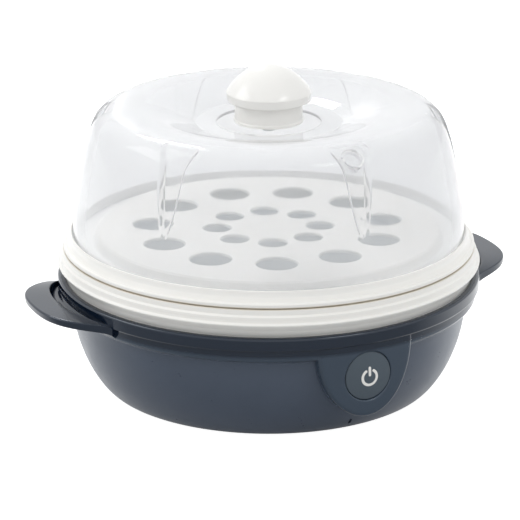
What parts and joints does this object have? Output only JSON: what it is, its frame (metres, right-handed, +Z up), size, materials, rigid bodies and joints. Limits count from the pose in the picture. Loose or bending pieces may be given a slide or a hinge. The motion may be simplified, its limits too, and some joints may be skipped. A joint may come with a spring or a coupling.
{
  "type": "bottle sterilizer",
  "caption": "Round electric steam sterilizer: dark heated base with ear handles and a power button, white basket, perforated tray and clear dome with a knob.",
  "frame": {"origin": "on the surface the feet stand on, under the axis of the round base", "axes": "+Z up along the axis of the base, basket, tray and dome; +X through an ear handle; the power button faces -Y"},
  "size_m": [0.3268, 0.275, 0.2142],
  "materials": {
    "slate_gloss": "satin",
    "slate_matte": "matte",
    "dark_liner": "satin",
    "white_plastic": "satin",
    "white_knob": "gloss",
    "clear_plastic": "gloss",
    "brushed_plate": "satin",
    "steel": "satin",
    "aluminium": "satin",
    "silicone": "matte",
    "rubber": "matte",
    "circuit_board": "matte",
    "lamp": "gloss"
  },
  "bodies": {
    "base": {"base_housing": "slate_gloss", "water_bowl": "dark_liner", "heating_plate": "brushed_plate", "plate_seal": "silicone", "heat_spreader": "aluminium", "plate_clamp": "aluminium", "heater_element": "steel", "thermostat": "aluminium", "thermal_fuse": "silicone", "control_board": "circuit_board", "tact_switch": "dark_liner", "indicator_lamp": "lamp", "button_guide": "dark_liner", "button_spring": "steel", "bottom_cover": "dark_liner", "foot_1": "rubber", "foot_2": "rubber", "foot_3": "rubber", "foot_4": "rubber", "cover_screw_1": "steel", "cover_screw_2": "steel", "cover_screw_3": "steel", "cover_screw_4": "steel", "cord_inlet": "rubber"},
    "button": {"power_button": "slate_matte"},
    "basket": {"lower_basket": "white_plastic"},
    "tray": {"perforated_tray": "white_plastic"},
    "lid": {"dome": "clear_plastic", "knob_collar": "white_knob", "knob_cap": "white_knob", "knob_seal": "silicone", "knob_screw": "steel"}
  },
  "joints": [
    {"name": "button_press", "type": "slide", "parent": "base", "child": "button", "axis": [0, 1, 0], "range_m": [0, 0.0014], "stiffness_N_per_m": 900, "deforming": ["button_spring"]},
    {"name": "basket_lift", "type": "slide", "parent": "base", "child": "basket", "axis": [0, 0, 1], "range_m": [0, 0.09]},
    {"name": "tray_lift", "type": "slide", "parent": "basket", "child": "tray", "axis": [0, 0, 1], "range_m": [0, 0.07]},
    {"name": "dome_lift", "type": "slide", "parent": "tray", "child": "lid", "axis": [0, 0, 1], "range_m": [0, 0.12]}
  ]
}
